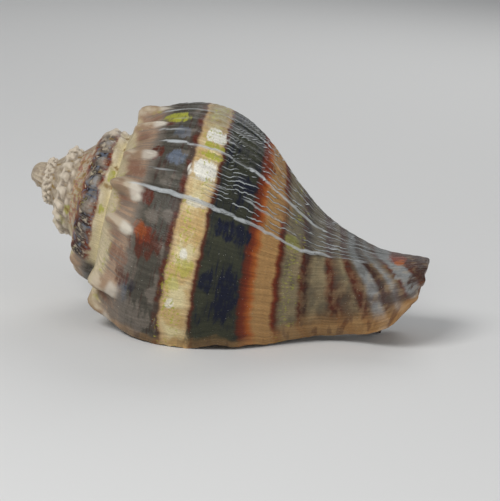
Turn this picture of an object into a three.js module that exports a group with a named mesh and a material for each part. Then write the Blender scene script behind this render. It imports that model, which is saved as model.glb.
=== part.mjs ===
import * as THREE from 'three';

// A crown conch shell lying on its opening. Millimetres, +Z up, the canal's end towards +X.

// Growth: the whole shell is one tube outline that turns about an axis and grows as it goes
const TURN = 2 * Math.PI;
const GROWTH_PER_TURN = 1.55;
const EARLY_GROWTH_PER_TURN = 1.25;
const EARLY_GROWTH_BEFORE = 430;
const EARLY_GROWTH_BLEND = 0.3;
const TURNS_OF_SPIRE = 3.0;
const LIP_OUTLINE = [
  [18.0, 22.2], [21.6, 23.2], [24.4, 25.2], [27.2, 28.4], [30.3, 33.2], [32.4, 39.4], [32.4, 46.6],
  [30.0, 54.2], [25.8, 61.2], [21.0, 68.0], [17.0, 73.8], [14.4, 79.4], [12.8, 85.1], [11.7, 90.9],
];

// Apex: the first coils are low, under a round dome
const APEX_FLATTEN = 0.5;
const APEX_REACH = 3.2;
const APEX_RINGS = 3;

// Canal: below the body the outline leaves the spiral and gathers about the axis, and flares at its end
const CANAL_START = 56.0;
const CANAL_END = 90.9;
const CANAL_RADIUS = [
  [-560, 2.9], [-504, 2.7], [-414, 2.3], [-360, 3.4], [-324, 5.6], [-280, 7.0], [-234, 8.6], [-200, 9.6],
  [-144, 9.2], [-54, 9.8], [0, 10.8],
];
const CANAL_FLARE = 2.2;
const CANAL_FLARE_START = 80.0;

// Pillar: the older side of the canal's end stops short of the lip's side
const PILLAR_RECESS = 6.0;
const PILLAR_RECESS_START = 76.0;
const PILLAR_SIDE = [200, 330];

// Edges: how far the growing edge falls back towards the canal, in degrees, by distance from the apex
const GROWTH_LINE_LAG = [[60.0, 0], [68.5, 2.5], [73.5, 10], [78.5, 21], [86.4, 40], [90.9, 52]];
const LIP_LAG = [
  [23.0, -9], [28.0, -9], [34.0, -5], [39.6, 0.5], [48.0, 5], [56.0, 7], [63.5, 2], [69.0, -4], [76.5, -7],
  [82.0, 3], [86.6, 23], [88.9, 38], [90.9, 54],
];
const LIP_ZONE = 50;

// Walls
const SUTURE_LEVEL = 34.5;
const SUTURE_DENT = 3.2;
const SUTURE_DENT_REACH = 5.0;
const SUTURE_DENT_FADE = [-1, -0.75];
const EDGE_THICKNESS = 0.9;
const EDGE_DEPTH = 0.12;
const WALL_THICKNESS = 1.5;
const WALL_GROWTH = 0.6;
const CANAL_WALL_EXTRA = 5.0;
const CANAL_WALL_START = 0.3;
const SUTURE_WALL = 2.4;
const HOLLOW_DEPTH_BODY = 400;
const HOLLOW_DEPTH_CANAL = 160;
const HOLLOW_NARROWS = 45.0;

// Shoulder spines: [degrees behind the lip, height]
const SHOULDER_LEVEL = 25.2;
const SPINE_WIDTH = 5.0;
const SPINE_REACH_UP = 2.4;
const SPINE_REACH_DOWN = 4.2;
const SPINE_OUT = 0.5;
const SPINE_BACK = 0.87;
const SPINES = [
  [-2, 2.2], [-16, 2.6], [-44, 1.6], [-62, 3.2], [-80, 2.2], [-101, 2.0], [-119, 3.0], [-137, 1.3], [-154, 1.4],
  [-172, 2.0], [-192, 1.6], [-214, 2.0], [-236, 1.7], [-258, 1.9], [-280, 1.6], [-302, 1.8], [-324, 1.5],
  [-344, 1.6],
];
const SPIRE_SPINE_STEP = 20;
const SPIRE_SPINE_HEIGHT = [[-600, 2.4], [-460, 1.2], [-360, 1.2]];
const SPIRE_SPINE_SHARPNESS = 4;

// Raised growth ridges: [degrees behind the lip, height]
const RIDGES = [[-64, 0.8], [-73.5, 0.4], [-89, 0.7], [-118, 0.4], [-140, 0.4]];
const RIDGE_WIDTH = 2.0;
const RIDGE_RISE = 6.0;
const RIDGE_FADE = [70, 92];

// Resting pose: the axis dips towards the canal, the shell is rolled onto its lip
const REST_DIP = 14.46;
const LIP_ANGLE = -39.4;

// Mesh
const ROWS_PER_TURN = 72;
const HOLLOW_ROWS = 34;
const RAMP_COLUMNS = [0, 2.6, 4.8, 6.6, 8.8, 12.4];
const BODY_COLUMNS = 20;
const NORMAL_STEP_AROUND = 0.02;
const NORMAL_STEP_ALONG = 0.2;
const OUTLINE_DIVISIONS = 600;
const HALVINGS = 40;

const radians = THREE.MathUtils.degToRad;
const degrees = THREE.MathUtils.radToDeg;
const lerp = THREE.MathUtils.lerp;
const smoothstep = THREE.MathUtils.smoothstep;

const outline = new THREE.CatmullRomCurve3(
  LIP_OUTLINE.map(([out, along]) => new THREE.Vector3(out, along, 0)), false, 'centripetal');
outline.arcLengthDivisions = OUTLINE_DIVISIONS;
const OUTLINE_LENGTH = outline.getLength();

function outlineAt(distance) {
  const point = outline.getPointAt(Math.min(1, Math.max(0, distance / OUTLINE_LENGTH)));
  return { out: point.x, along: point.y };
}

function distanceOfLevel(level) {
  let low = 0;
  let high = OUTLINE_LENGTH;
  for (let i = 0; i < HALVINGS; i++) {
    const middle = (low + high) / 2;
    if (outlineAt(middle).along < level) low = middle;
    else high = middle;
  }
  return (low + high) / 2;
}

const SUTURE = distanceOfLevel(SUTURE_LEVEL);
const SHOULDER = distanceOfLevel(SHOULDER_LEVEL);

// A smooth curve through a table of [x, value] pairs
function curveThrough(table, x) {
  const last = table.length - 1;
  if (x <= table[0][0]) return table[0][1];
  if (x >= table[last][0]) return table[last][1];
  let i = 0;
  while (table[i + 1][0] < x) i++;
  const slope = (k) => {
    const before = table[Math.max(0, k - 1)];
    const after = table[Math.min(last, k + 1)];
    return (after[1] - before[1]) / (after[0] - before[0]);
  };
  const span = table[i + 1][0] - table[i][0];
  const t = (x - table[i][0]) / span;
  const a = table[i][1];
  const b = table[i + 1][1];
  const ma = slope(i) * span;
  const mb = slope(i + 1) * span;
  return a + t * (ma + t * (3 * (b - a) - 2 * ma - mb + t * (ma + mb - 2 * (b - a))));
}

// Size at a growth angle, 1 at the lip: the spire's whorls grew faster than the last one
function growth(angle) {
  const before = Math.max(0, -degrees(angle) - EARLY_GROWTH_BEFORE) / 360;
  const early = before * before / (before + EARLY_GROWTH_BLEND);
  return Math.pow(GROWTH_PER_TURN, angle / TURN) / Math.pow(EARLY_GROWTH_PER_TURN, early);
}

// The growing edge is not straight: row 0 is the lip itself, older rows follow the growth lines
function edgeLag(row, distance) {
  const level = outlineAt(distance).along;
  const atLip = curveThrough(LIP_LAG, level);
  const atGrowthLine = curveThrough(GROWTH_LINE_LAG, level);
  const older = smoothstep(-degrees(row), 0, LIP_ZONE);
  return -radians(lerp(atLip, atGrowthLine, older));
}

// Height of the spines at a growth angle, in the size of the last whorl
function spineHeight(angle) {
  const at = degrees(angle);
  let height = 0;
  for (const [centre, size] of SPINES) {
    height = Math.max(height, size * Math.exp(-Math.pow((at - centre) / SPINE_WIDTH, 2)));
  }
  if (at >= -360) return height;
  const wave = Math.cos(Math.PI * (at + 360) / SPIRE_SPINE_STEP);
  return Math.max(height, curveThrough(SPIRE_SPINE_HEIGHT, at) * Math.pow(wave, SPIRE_SPINE_SHARPNESS));
}

function ridgeHeight(angle, distance) {
  const at = degrees(angle);
  let height = 0;
  for (const [centre, size] of RIDGES) height += size * Math.exp(-Math.pow((at - centre) / RIDGE_WIDTH, 2));
  const start = smoothstep(distance, SHOULDER, SHOULDER + RIDGE_RISE);
  const end = 1 - smoothstep(distance, ...RIDGE_FADE);
  return height * start * end;
}

// Point of the plain outer surface: angle is the growth angle, 0 at the lip and negative before it
function plainPoint(angle, distance) {
  const { out, along } = outlineAt(distance);
  const size = growth(angle);
  const inCanal = smoothstep(along, CANAL_START, CANAL_END);
  const fullness = smoothstep(angle / TURN, ...SUTURE_DENT_FADE);
  const off = (distance - SUTURE) / SUTURE_DENT_REACH;
  const dent = SUTURE_DENT * Math.exp(-off * off) * (1 - fullness);
  const canal = curveThrough(CANAL_RADIUS, degrees(angle));
  const flare = CANAL_FLARE * smoothstep(along, CANAL_FLARE_START, CANAL_END);
  const pillar = smoothstep(-degrees(angle), ...PILLAR_SIDE);
  const recess = PILLAR_RECESS * pillar * smoothstep(along, PILLAR_RECESS_START, CANAL_END);
  const radius = (out - dent) * size * (1 - inCanal) + canal * inCanal + flare;
  const axial = along * (size + (1 - size) * inCanal) - recess;
  const flatten = APEX_FLATTEN * Math.exp(-Math.pow(axial / APEX_REACH, 2));
  return { radius, axial: axial * (1 - flatten), angle };
}

// Turned into the resting pose
function place({ radius, axial, angle }) {
  const around = radians(LIP_ANGLE) - angle;
  const side = -radius * Math.cos(around);
  const up = radius * Math.sin(around);
  const dip = radians(REST_DIP);
  return new THREE.Vector3(
    axial * Math.cos(dip) + up * Math.sin(dip), side, up * Math.cos(dip) - axial * Math.sin(dip));
}

// Point of the outer surface with its spines and ridges, which lie along the growth lines
function outerPoint(row, distance) {
  const point = plainPoint(row + edgeLag(row, distance), distance);
  const off = (distance - SHOULDER) / (distance < SHOULDER ? SPINE_REACH_UP : SPINE_REACH_DOWN);
  const spine = spineHeight(row) * growth(row) * Math.exp(-off * off);
  point.radius += SPINE_OUT * spine;
  point.axial -= SPINE_BACK * spine;
  if (row > -TURN) point.radius += ridgeHeight(row, distance);
  return place(point);
}

// Core: the previous whorl and the pillar, smooth, as seen through the opening
function corePoint(depth, distance) {
  return outerPoint(-TURN - hollowReach(distance) * depth, distance);
}

function hollowReach(distance) {
  const level = outlineAt(distance).along;
  return radians(lerp(HOLLOW_DEPTH_BODY, HOLLOW_DEPTH_CANAL, smoothstep(level, HOLLOW_NARROWS, CANAL_END)));
}

function plainPlace(angle, distance) {
  return place(plainPoint(angle, distance));
}

// Inner side of the wall: the outer surface moved inwards, without its spines
function innerPoint(depth, distance) {
  const angle = -hollowReach(distance) * depth;
  const here = angle + edgeLag(angle, distance);
  const newer = plainPlace(here + NORMAL_STEP_AROUND, distance);
  const alongRow = newer.sub(plainPlace(here - NORMAL_STEP_AROUND, distance));
  const near = Math.max(0, distance - NORMAL_STEP_ALONG);
  const far = Math.min(OUTLINE_LENGTH, distance + NORMAL_STEP_ALONG);
  const across = plainPlace(here, far).sub(plainPlace(here, near));
  const outward = alongRow.cross(across).normalize();
  const inCanal = smoothstep(outlineAt(distance).along, CANAL_START, CANAL_END);
  let thickness = lerp(EDGE_THICKNESS, WALL_THICKNESS, smoothstep(depth, 0, EDGE_DEPTH));
  thickness *= lerp(1, growth(here), WALL_GROWTH);
  thickness += CANAL_WALL_EXTRA * inCanal * smoothstep(depth, CANAL_WALL_START, 1);
  return plainPlace(here, distance).addScaledVector(outward, -thickness);
}

// Vertices and faces, sewn into one closed skin
const vertices = [];
const faces = [];

function addVertex(point) {
  vertices.push(point);
  return vertices.length - 1;
}

function addFace(a, b, c) {
  if (a !== b && b !== c && c !== a) faces.push(a, b, c);
}

function addQuad(a, b, c, d) {
  const short = vertices[a].distanceTo(vertices[c]) < vertices[b].distanceTo(vertices[d]);
  if (short) {
    addFace(a, b, c);
    addFace(a, c, d);
  } else {
    addFace(a, b, d);
    addFace(b, c, d);
  }
}

function addSheet(rows, flip = false) {
  for (let i = 0; i + 1 < rows.length; i++) {
    const width = Math.min(rows[i].length, rows[i + 1].length);
    for (let j = 0; j + 1 < width; j++) {
      if (flip) addQuad(rows[i][j], rows[i + 1][j], rows[i + 1][j + 1], rows[i][j + 1]);
      else addQuad(rows[i][j], rows[i][j + 1], rows[i + 1][j + 1], rows[i + 1][j]);
    }
  }
}

// Fills the strip between two runs of vertices that start and end side by side
function addStrip(first, second) {
  let i = 0;
  let j = 0;
  while (i < first.length - 1 || j < second.length - 1) {
    const canFirst = i < first.length - 1;
    const canSecond = j < second.length - 1;
    const stepFirst = canFirst ? vertices[first[i + 1]].distanceTo(vertices[second[j]]) : Infinity;
    const stepSecond = canSecond ? vertices[first[i]].distanceTo(vertices[second[j + 1]]) : Infinity;
    if (stepFirst <= stepSecond) {
      addFace(first[i], first[i + 1], second[j]);
      i++;
    } else {
      addFace(first[i], second[j + 1], second[j]);
      j++;
    }
  }
}

function columnDistances() {
  const body = [];
  const start = SUTURE + SUTURE_WALL;
  for (let j = 0; j <= BODY_COLUMNS; j++) body.push(lerp(start, OUTLINE_LENGTH, j / BODY_COLUMNS));
  return [...RAMP_COLUMNS, SUTURE, ...body];
}

// The hollow's columns are every second one of the outer surface's
function everySecond(list) {
  return list.filter((_, j) => j % 2 === 0 || j === list.length - 1);
}

const columns = columnDistances();
const sutureColumn = RAMP_COLUMNS.length;
const coreColumns = everySecond(columns.slice(sutureColumn + 1));
const innerColumns = [0, ...everySecond(columns.slice(2))];
const lastRow = Math.round(ROWS_PER_TURN * (1 + TURNS_OF_SPIRE));
const rowAngle = (i) => -TURN * i / ROWS_PER_TURN;

// Outer surface, from the oldest row to the lip; a whorl's first column is the suture on the one before
function buildOuter() {
  const rows = [];
  for (let i = lastRow; i >= 0; i--) {
    const width = i <= ROWS_PER_TURN ? columns.length : sutureColumn + 1;
    const row = [];
    for (let j = 0; j < width; j++) {
      const older = rows[i + ROWS_PER_TURN];
      if (j === 0 && older) row.push(older[sutureColumn]);
      else row.push(addVertex(outerPoint(rowAngle(i), columns[j])));
    }
    rows[i] = row;
  }
  return rows;
}

function buildCore(outer) {
  const edge = outer[ROWS_PER_TURN].slice(sutureColumn + 1);
  const rows = [edge];
  for (let k = 1; k <= HOLLOW_ROWS; k++) {
    rows.push(coreColumns.map((distance) => addVertex(corePoint(k / HOLLOW_ROWS, distance))));
  }
  return rows;
}

function buildInner(core) {
  const rows = [];
  for (let k = 0; k <= HOLLOW_ROWS; k++) {
    const row = innerColumns.slice(1).map((distance) => addVertex(innerPoint(k / HOLLOW_ROWS, distance)));
    rows.push([core[k][0], ...row]);
  }
  return rows;
}

function buildSkin() {
  const outer = buildOuter();
  const core = buildCore(outer);
  const inner = buildInner(core);
  const last = (row) => row[row.length - 1];
  addSheet(outer);
  addStrip(core[0], core[1]);
  addSheet(core.slice(1));
  addSheet(inner, true);
  // Lip edge
  addStrip(inner[0], outer[0]);
  // Canal's end: the wall's edge, then the pillar
  const outerEnd = outer.slice(0, ROWS_PER_TURN + 1).map(last);
  const innerEnd = inner.map(last);
  const coreEnd = core.map(last);
  const split = Math.round(HOLLOW_DEPTH_CANAL / 360 * ROWS_PER_TURN);
  addStrip(innerEnd, outerEnd.slice(0, split + 1));
  addStrip([last(innerEnd), ...coreEnd.reverse()], outerEnd.slice(split));
  // Deep end of the hollow
  addStrip(last(core), last(inner));
  closeApex(outer);
}

// A round dome over the first coil
function closeApex(outer) {
  let ring = [];
  for (let i = lastRow - ROWS_PER_TURN; i <= lastRow; i++) ring.push(outer[i][0]);
  for (let j = 1; j < sutureColumn; j++) ring.push(outer[lastRow][j]);
  const tip = place({ radius: 0, axial: 0, angle: 0 });
  const axis = place({ radius: 0, axial: 1, angle: 0 }).sub(tip);
  const rim = ring.map((id) => vertices[id].clone().sub(tip));
  for (let k = 1; k < APEX_RINGS; k++) {
    const share = 1 - k / APEX_RINGS;
    const sink = 1 - Math.sqrt(1 - share * share);
    const inner = rim.map((arm) => {
      const along = arm.dot(axis);
      const out = arm.clone().addScaledVector(axis, -along).multiplyScalar(share);
      return addVertex(out.addScaledVector(axis, along * sink).add(tip));
    });
    for (let i = 0; i < ring.length; i++) {
      const j = (i + 1) % ring.length;
      addQuad(ring[i], ring[j], inner[j], inner[i]);
    }
    ring = inner;
  }
  const top = addVertex(tip);
  for (let i = 0; i < ring.length; i++) addFace(ring[i], ring[(i + 1) % ring.length], top);
}

buildSkin();

const geometry = new THREE.BufferGeometry();
const coordinates = vertices.flatMap((point) => point.toArray());
geometry.setAttribute('position', new THREE.Float32BufferAttribute(coordinates, 3));
geometry.setIndex(faces);
geometry.computeBoundingBox();
const box = geometry.boundingBox;
geometry.translate(-(box.min.x + box.max.x) / 2, -(box.min.y + box.max.y) / 2, -box.min.z);
geometry.computeVertexNormals();

const material = new THREE.MeshStandardMaterial({ color: 0xa98f6c, roughness: 0.45 });
const shell = new THREE.Mesh(geometry, material);
shell.name = 'shell';

const part = new THREE.Group();
part.name = 'crown_conch_shell';
part.add(shell);

export default part;
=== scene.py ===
"""A crown conch shell: its detailed surface and markings, on a pale floor in soft light."""
import math

import bpy
import numpy as np
from mathutils import Matrix, Vector


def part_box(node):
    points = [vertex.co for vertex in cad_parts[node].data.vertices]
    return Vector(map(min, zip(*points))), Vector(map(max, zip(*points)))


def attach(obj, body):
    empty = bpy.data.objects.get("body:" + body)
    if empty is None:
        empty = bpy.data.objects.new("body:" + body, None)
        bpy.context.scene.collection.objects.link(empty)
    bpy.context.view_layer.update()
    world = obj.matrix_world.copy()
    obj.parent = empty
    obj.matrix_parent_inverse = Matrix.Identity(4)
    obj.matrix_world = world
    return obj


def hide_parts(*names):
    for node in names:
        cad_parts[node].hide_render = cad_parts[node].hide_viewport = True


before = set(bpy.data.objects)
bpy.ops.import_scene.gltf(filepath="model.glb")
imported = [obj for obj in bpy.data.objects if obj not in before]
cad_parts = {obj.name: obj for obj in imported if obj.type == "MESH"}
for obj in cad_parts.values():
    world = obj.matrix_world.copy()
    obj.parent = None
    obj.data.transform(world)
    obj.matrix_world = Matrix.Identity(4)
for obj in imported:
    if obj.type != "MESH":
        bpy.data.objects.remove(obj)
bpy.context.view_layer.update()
MM = 0.001

# Growth, as in the part: one outline turns about an axis and grows as it goes
TURN = 2 * math.pi
GROWTH_PER_TURN = 1.55
EARLY_GROWTH_PER_TURN = 1.25
EARLY_GROWTH_BEFORE = 430
EARLY_BLEND = 0.3
TURNS_OF_SPIRE = 3

# The lip's outline: (radius, level), with the level measured along the axis from the apex
LIP_OUTLINE = [
    (18, 22.2), (21.6, 23.2), (24.4, 25.2), (27.2, 28.4), (30.3, 33.2), (32.4, 39.4), (32.4, 46.6),
    (30, 54.2), (25.8, 61.2), (21, 68), (17, 73.8), (14.4, 79.4), (12.8, 85.1), (11.7, 90.9)]
SHOULDER_LEVEL = 25.2
SUTURE_LEVEL = 34.5
SUTURE_DENT = 3.2
SUTURE_DENT_REACH = 5

# The canal and the pillar: (degrees behind the lip, radius)
CANAL_START = 56
CANAL_END = 90.9
CANAL_RADIUS = [
    (-560, 2.9), (-504, 2.7), (-414, 2.3), (-360, 3.4), (-324, 5.6), (-280, 7), (-234, 8.6),
    (-200, 9.6), (-144, 9.2), (-54, 9.8), (0, 10.8)]
CANAL_FLARE = 2.2
CANAL_FLARE_START = 80
CANAL_WEAR = 0.6
CANAL_WEAR_START = 85
PILLAR_RECESS = 6
PILLAR_RECESS_START = 76
PILLAR_SIDE = (200, 330)

# How far growth lines and the lip fall back: (level, degrees)
GROWTH_LINE_LAG = [(60, 0), (68.5, 2.5), (73.5, 10), (78.5, 21), (86.4, 40), (90.9, 52)]
LIP_LAG = [
    (23, -9), (28, -9), (34, -5), (39.6, 0.5), (48, 5), (56, 7), (63.5, 2), (69, -4),
    (76.5, -7), (82, 3), (86.6, 23), (88.9, 38), (90.9, 54)]
LIP_ZONE = 50
LIP_RAGGED = 0.8

# The wall and the hollow inside it; depths are in degrees behind the lip
EDGE_THICKNESS = 0.9
EDGE_ZONE = 0.12
WALL_THICKNESS = 1.5
SUTURE_WALL = 2.4
WALL_AT_START = 0.4
CANAL_FILL = 5
CANAL_FILL_FROM = 0.3
HOLLOW_DEPTH_BODY = 400
HOLLOW_DEPTH_CANAL = 160
HOLLOW_NARROWS = 45
INNER_START = 3
CORE_GLAZE = (360, 385)
CORE_INSIDE = (360, 380)

# The apex, and how the shell lies
TIP_LEVEL = 0
APEX_FLATTEN = 0.5
APEX_REACH = 3.2
REST_DIP = math.radians(14.46)
LIP_ANGLE = math.radians(-39.4)

# Shoulder spines: (degrees behind the lip, height); the sides are how far they reach on the older
# and newer side, in degrees
SPINES = [
    (-2, 2.2), (-16, 2.6), (-44, 1.6), (-62, 3.2), (-80, 2.2), (-101, 2), (-119, 3), (-137, 1.3),
    (-154, 1.4), (-172, 2), (-192, 1.6), (-214, 2), (-236, 1.7), (-258, 1.9), (-280, 1.6),
    (-302, 1.8), (-324, 1.5), (-344, 1.6)]
SPIRE_SPINE_STEP = 20
SPIRE_SPINE_WIDER = 0.9
SPIRE_SPINES_BEFORE = -356
SPIRE_SPINE_HEIGHT = [(-600, 2.4), (-460, 1.2), (-360, 1.2)]
SPINE_REACH_UP = 2.4
SPINE_REACH_DOWN = 4.2
SPINE_OUT = 0.5
SPINE_BACK = 0.87
SPINE_SIDES = (5, 3.4)

# The folded edge below each spine, and the dip on its newer side, in degrees and mm
FOLD_HEIGHT = 0.32
FOLD_SIDES = (3, 1.1)
FOLD_BELOW = 2.5
FOLD_REACH = 4.2
FOLD_WANDER = 0.8
DIP_DEPTH = 0.36
DIP_AFTER = 5.5
DIP_SIDE = 3.2
DIP_BELOW = 1.6
DIP_REACH = 2.6

# Knobs below the shoulder: (degrees behind the lip, height)
KNOBS = [
    (-20, 0.8), (-43.5, 1), (-58.5, 1.2), (-80, 1.3), (-101, 0.7), (-125, 0.5), (-160, 0.5), (-200, 0.5)]
KNOB_LEVEL = 29.2
KNOB_DEGREES = 2.4
KNOB_REACH = 1.8

# Beads of the spire, in rows along the whorl: (arc, height)
BEAD_ROWS = [(2.2, 1.3), (6.6, 1.2), (11.6, 1.9), (16, 1.4)]
BEAD_STEP = 20
BEAD_REACH = 1.9
BEAD_SWAY = 4
BEAD_UNEVEN = 0.30
BEADS_BEFORE = -372
BEADS_FADE = 30
FIRST_BEADS_TALLER = 0.9
FIRST_BEADS = (720, 1100)
BEAD_BACK = 0.25

# Ribs, which are raised growth edges: (degrees behind the lip, height)
RIBS = [
    (-33, 0.06), (-55.5, 0.12), (-64, 1), (-68.5, 0.16), (-73.5, 0.42), (-77.5, 0.18), (-81.5, 0.25),
    (-85, 0.18), (-89, 0.85), (-93, 0.25), (-97, 0.40), (-101.5, 0.22), (-106, 0.40), (-111, 0.25),
    (-116, 0.55), (-121, 0.25), (-127, 0.45), (-133, 0.25), (-140, 0.50)]
OLDER_RIBS = 24
OLDER_RIB_STEP = (5, 11)
OLDER_RIB_HEIGHT = (0.15, 0.45)
OLDER_RIB_SEED = 11
RIB_SIDES = (1.3, 0.5)
RIB_WAVES = (0.5, 0.4)
RIB_WAVES_GROW = 1.3
RIB_WAVES_FROM = (40, 65)
RIB_WIDENS = (45, 75)
RIB_WHOLE = 0.75
RIB_BROKEN = 0.55
RIB_LOWER = 0.6
RIB_LOWER_FROM = (55, 75)
RIB_GONE = 0.9
RIB_GONE_LEVEL = (79, 85)
RIB_BELOW = (1, 7)

# Cords along the spiral, and the shell's small unevenness
CORD_HEIGHT = 0.05
CORD_STEP = 1.9
CORD_SWAY = 2
CORD_BELOW = (3, 9)
BROAD_HEIGHT = 0.30
BROAD_FROM = (2, 8)
FINE_HEIGHT = 0.05

# How much each part of the relief wears to a pale edge, for each mm of height, and how strongly the dips
# get painted shade
WORN_TIP = 1 / 2.6
WORN_FOLD = 1.2
WORN_KNOB = 0.9
WORN_BEAD = 0.7
DIP_SHADE = 1.7

# Random waves of the relief: (length of a wave along x, along y, seed)
RIPPLES = {
    "lip": (3.6, 1, 14), "lip_fine": (1.2, 1, 15), "canal_end": (11, 1, 16), "folds": (3, 15, 12),
    "bead_places": (30, 3, 40), "bead_sizes": (BEAD_STEP, 6, 30), "ribs": (2.6, 12, 5),
    "ribs_fine": (1.3, 8, 6), "rib_gaps": (4.5, 1 / 14, 7), "cords": (1 / 2, 6, 8),
    "broad": (1 / 1.6, 14, 9), "fine": (1.7, 5.0, 10)}

# Mesh: rows along the whorl, columns along the outline
DENSE_SECTOR = (-150, 0)
DENSE_ROWS = 200
SPARSE_ROWS = 120
ROWS_PER_TURN = DENSE_ROWS + SPARSE_ROWS
RAMP_COLUMNS = 20
BODY_COLUMNS = 108
INNER_COLUMNS = 44
CORE_COLUMNS = 36
HOLLOW_DEPTHS = np.linspace(0, 1, 91) ** 1.3
APEX_RINGS = 6
SHARP_ANGLE = math.radians(52)


def smooth(x, low, high):
    """0 below low, 1 above high, with an even slope between."""
    t = np.clip((x - low) / (high - low), 0, 1)
    return t * t * (3 - 2 * t)


def hump(off, reach):
    """1 at 0, falling evenly to nothing beyond the reach."""
    return np.exp(-(off / reach) ** 2)


def ridge(off, sides):
    """A hump that reaches differently far to its older and its newer side."""
    return hump(off, np.where(off < 0, *sides))


def curve_through(table, x):
    """A smooth curve through a table of (x, value) pairs."""
    at, value = np.array(table, float).T
    slope = np.empty_like(value)
    slope[1:-1] = (value[2:] - value[:-2]) / (at[2:] - at[:-2])
    slope[0] = (value[1] - value[0]) / (at[1] - at[0])
    slope[-1] = (value[-1] - value[-2]) / (at[-1] - at[-2])
    x = np.clip(np.asarray(x, float), at[0], at[-1])
    i = np.clip(np.searchsorted(at, x) - 1, 0, len(at) - 2)
    span = at[i + 1] - at[i]
    t = (x - at[i]) / span
    a, b = value[i], value[i + 1]
    ma, mb = slope[i] * span, slope[i + 1] * span
    return a + t * (ma + t * (3 * (b - a) - 2 * ma - mb + t * (ma + mb - 2 * (b - a))))


def between(t, low, high, first, last):
    """The point at t on a straight way from first, at low, to last, at high."""
    return (high - t) / (high - low) * first + (t - low) / (high - low) * last


def centripetal_curve(points, steps=40):
    """A centripetal Catmull-Rom curve through the points."""
    p = np.array(points, float)
    p = np.vstack([2 * p[0] - p[1], p, 2 * p[-1] - p[-2]])
    out = []
    for p0, p1, p2, p3 in zip(p, p[1:], p[2:], p[3:]):
        t1 = np.linalg.norm(p1 - p0) ** 0.5
        t2 = t1 + np.linalg.norm(p2 - p1) ** 0.5
        t3 = t2 + np.linalg.norm(p3 - p2) ** 0.5
        t = np.linspace(t1, t2, steps, endpoint=False)[:, None]
        a1 = between(t, 0, t1, p0, p1)
        a2 = between(t, t1, t2, p1, p2)
        a3 = between(t, t2, t3, p2, p3)
        b1 = between(t, 0, t2, a1, a2)
        b2 = between(t, t1, t3, a2, a3)
        out.append(between(t, t1, t2, b1, b2))
    return np.vstack(out + [p[-2][None]])


# The outline as a smooth curve; an arc is the distance along it from its first point
OUTLINE = centripetal_curve(LIP_OUTLINE)
OUTLINE_ARC = np.concatenate([[0], np.cumsum(np.linalg.norm(np.diff(OUTLINE, axis=0), axis=1))])
OUTLINE_LENGTH = OUTLINE_ARC[-1]
SUTURE = float(np.interp(SUTURE_LEVEL, OUTLINE[:, 1], OUTLINE_ARC))
SHOULDER = float(np.interp(SHOULDER_LEVEL, OUTLINE[:, 1], OUTLINE_ARC))


def level_at(arc):
    """Distance from the apex along the axis, on the lip, of a point at this arc."""
    return np.interp(arc, OUTLINE_ARC, OUTLINE[:, 1])


def noise(x, y, seed, size=64):
    """Smooth random waves between -1 and 1, one to a unit of x and y."""
    grid = np.random.default_rng(seed).uniform(-1, 1, (size, size))
    i, j = np.floor(x).astype(int), np.floor(y).astype(int)
    u, v = x - i, y - j
    u, v = u * u * (3 - 2 * u), v * v * (3 - 2 * v)
    a, b = grid[i % size, j % size], grid[(i + 1) % size, j % size]
    c, d = grid[i % size, (j + 1) % size], grid[(i + 1) % size, (j + 1) % size]
    return (a * (1 - u) + b * u) * (1 - v) + (c * (1 - u) + d * u) * v


def ripple(name, x, y=None, copy=0):
    """The named waves at places x and y; each copy is different."""
    length, width, seed = RIPPLES[name]
    y = np.zeros_like(x) if y is None else y
    return noise(x / length, y / width, seed + copy)


def growth(angle):
    """Size at a growth angle, 1 at the lip; the spire's whorls grew faster than the last one."""
    early = np.maximum(0, -np.degrees(angle) - EARLY_GROWTH_BEFORE) / 360
    early = early * early / (early + EARLY_BLEND)
    return GROWTH_PER_TURN ** (angle / TURN) / EARLY_GROWTH_PER_TURN ** early


def edge_lag(row, arc):
    """The growing edge is not straight: row 0 is the lip itself, older rows follow the growth lines."""
    level = level_at(arc)
    older = smooth(-np.degrees(row), 0, LIP_ZONE)
    ragged = ripple("lip", arc) + 0.5 * ripple("lip_fine", arc)
    lip = curve_through(LIP_LAG, level) + LIP_RAGGED * ragged
    return -np.radians(lip * (1 - older) + curve_through(GROWTH_LINE_LAG, level) * older)


def plain_point(angle, arc):
    """Radius and distance from the apex of the plain surface."""
    out = np.interp(arc, OUTLINE_ARC, OUTLINE[:, 0])
    along = level_at(arc)
    size = growth(angle)
    in_canal = smooth(along, CANAL_START, CANAL_END)
    fullness = smooth(angle, -TURN, -0.75 * TURN)
    dent = SUTURE_DENT * hump(arc - SUTURE, SUTURE_DENT_REACH) * (1 - fullness)
    canal = curve_through(CANAL_RADIUS, np.degrees(angle))
    radius = (out - dent) * size * (1 - in_canal) + canal * in_canal
    radius = radius + CANAL_FLARE * smooth(along, CANAL_FLARE_START, CANAL_END)
    axial = along * (size + (1 - size) * in_canal) - canal_recess(angle, along)
    axial = axial * (1 - APEX_FLATTEN * hump(axial, APEX_REACH))
    return radius, axial


def canal_recess(angle, along):
    """How far the canal's end stops short: the pillar's side, and a worn, ragged edge."""
    pillar = smooth(-np.degrees(angle), *PILLAR_SIDE) * smooth(along, PILLAR_RECESS_START, CANAL_END)
    wear = 1 - ripple("canal_end", np.degrees(angle))
    return PILLAR_RECESS * pillar + CANAL_WEAR * wear * smooth(along, CANAL_WEAR_START, CANAL_END)


def place(radius, axial, angle):
    """Turns radius, axial distance and growth angle into the resting pose."""
    around = LIP_ANGLE - angle
    side = -radius * np.cos(around)
    up = radius * np.sin(around)
    x = axial * math.cos(REST_DIP) + up * math.sin(REST_DIP)
    z = up * math.cos(REST_DIP) - axial * math.sin(REST_DIP)
    return np.stack([x, side, z], -1)


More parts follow.
